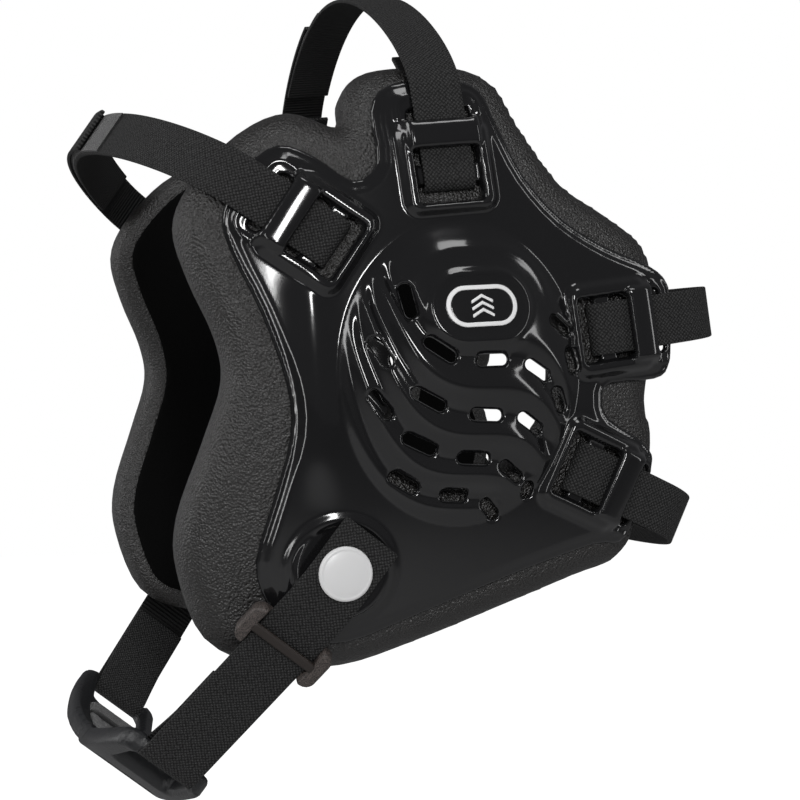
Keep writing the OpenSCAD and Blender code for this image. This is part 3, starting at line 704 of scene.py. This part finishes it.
def cup_end_thin(x, z):
    return (CUP_T / 2 - 0.15) - (CUP_T / 2 - 2.4) * ramp((np.abs(x) - 59.5) / 2) * (np.abs(z) < 10.4)


rubber, tree, shader = material("cup_rubber", Base_Color=linear("#1c1d1f"), Roughness=0.38)
coord = add(tree, "TexCoord")
cells = add(tree, "TexVoronoi", {"Vector": coord.outputs["Object"], "Scale": 1100}, feature="SMOOTH_F1")
fine = add(tree, "TexNoise", {"Vector": coord.outputs["Object"], "Scale": 1500, "Detail": 3})
grain = add(tree, "Math", {0: cells.outputs["Distance"], 1: fine.outputs["Fac"]}, operation="ADD")
bump = add(tree, "Bump", {"Height": grain.outputs[0], "Strength": 0.25, "Distance": 0.0004})
rough = add(tree, "MapRange", {"Value": fine.outputs["Fac"], "To Min": 0.3, "To Max": 0.5})
tree.links.new(rough.outputs["Result"], shader.inputs["Roughness"])
tree.links.new(bump.outputs["Normal"], shader.inputs["Normal"])
bm = slab(cup_sd, (-67, -17), (67, 17), 0.8, lambda x, z: cup_mid(x, z) + cup_end_thin(x, z),
          lambda x, z: cup_mid(x, z) - cup_end_thin(x, z), 1.5, 1.5, cup_place)
cup = finish(bm, "chin_cup_body", [rubber], "chin_cup_body")
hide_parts("chin_cup")
bm = slab(lambda x, z: np.maximum(sd_rect(x, z, 36, 12, 5), -sd_rect(np.abs(x) - 22.3, z, 3, 11.4, 3)),
          (-38, -13), (38, 13), 1.0, lambda x, z: cup_mid(x, z) - CUP_T / 2 + 0.3,
          lambda x, z: cup_mid(x, z) - CUP_T / 2 - 1.0, 0.1, 0.7, cup_place)
liner = finish(bm, "chin_cup_pad", [pile], "chin_cup_body")
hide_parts("chin_cup_liner")

# ---------------------------------------------------------------- Stage, light and camera
# A pale floor well under the piece and tall soft boxes. The floor and room light the piece
# dimly, but look white to the camera.
paint, tree, shader = material("floor_paint", Base_Color=linear("#c8c8c8"), Roughness=0.9)
seen = add(tree, "LightPath")
shader.inputs["Emission Color"].default_value = (1, 1, 1, 1)
tree.links.new(seen.outputs["Is Camera Ray"], shader.inputs["Emission Strength"])
bm = bmesh.new()
bmesh.ops.create_grid(bm, x_segments=1, y_segments=1, size=6)
mesh = bpy.data.meshes.new("floor")
bm.to_mesh(mesh)
bm.free()
floor = bpy.data.objects.new("floor", mesh)
mesh.materials.append(paint)
floor.location.z = -0.6
bpy.context.scene.collection.objects.link(floor)

bpy.context.scene.view_settings.view_transform = "Standard"
world = bpy.data.worlds.new("studio")
bpy.context.scene.world = world
world.use_nodes = True
tree = world.node_tree
back = tree.nodes["Background"]
seen = add(tree, "LightPath")
shade = add(tree, "Mix", {"Factor": seen.outputs["Is Camera Ray"], "A": (0.13, 0.13, 0.135, 1),
                          "B": (1, 1, 1, 1)}, data_type="RGBA")
tree.links.new(shade.outputs["Result"], back.inputs["Color"])

for name, place, aim, size, power in (
        ("key", (0.15, -1.5, 0.9), (0, 0, 0), (0.5, 0.9), 7),
        ("strip_front", (1.3, -1.15, 0.25), (0, 0, 0), (0.12, 1.3), 4),
        ("strip_back", (0.8, 1.3, 0.35), (0, 0, 0), (0.14, 1.3), 3),
        ("front", (1.5, -0.2, 0.46), (0, 0, 0), (0.16, 0.5), 9),
        ("top", (0.5, 0.2, 1.6), (0, 0, 0), (0.5, 0.5), 4),
        ("rim_left", (-1.1, -1.5, 0.2), (0, 0, 0), (0.5, 1.4), 6)):
    light = bpy.data.lights.new(name, "AREA")
    light.shape, light.size, light.size_y, light.energy = "RECTANGLE", size[0], size[1], power
    obj = bpy.data.objects.new(name, light)
    obj.location = place
    obj.rotation_euler = (Vector(aim) - Vector(place)).to_track_quat("-Z", "Y").to_euler()
    bpy.context.scene.collection.objects.link(obj)

camera = bpy.data.cameras.new("camera")
camera.sensor_width, camera.lens = 36, 89.8
camera.clip_start, camera.clip_end = 0.01, 20
eye = bpy.data.objects.new("camera", camera)
eye.location = (0.6465, -0.1646, -0.0009)
drop = math.radians(0.718)
look = Vector((-0.9659 * math.cos(drop), 0.2588 * math.cos(drop), -math.sin(drop)))
eye.rotation_euler = look.to_track_quat("-Z", "Y").to_euler()
bpy.context.scene.collection.objects.link(eye)
bpy.context.scene.camera = eye
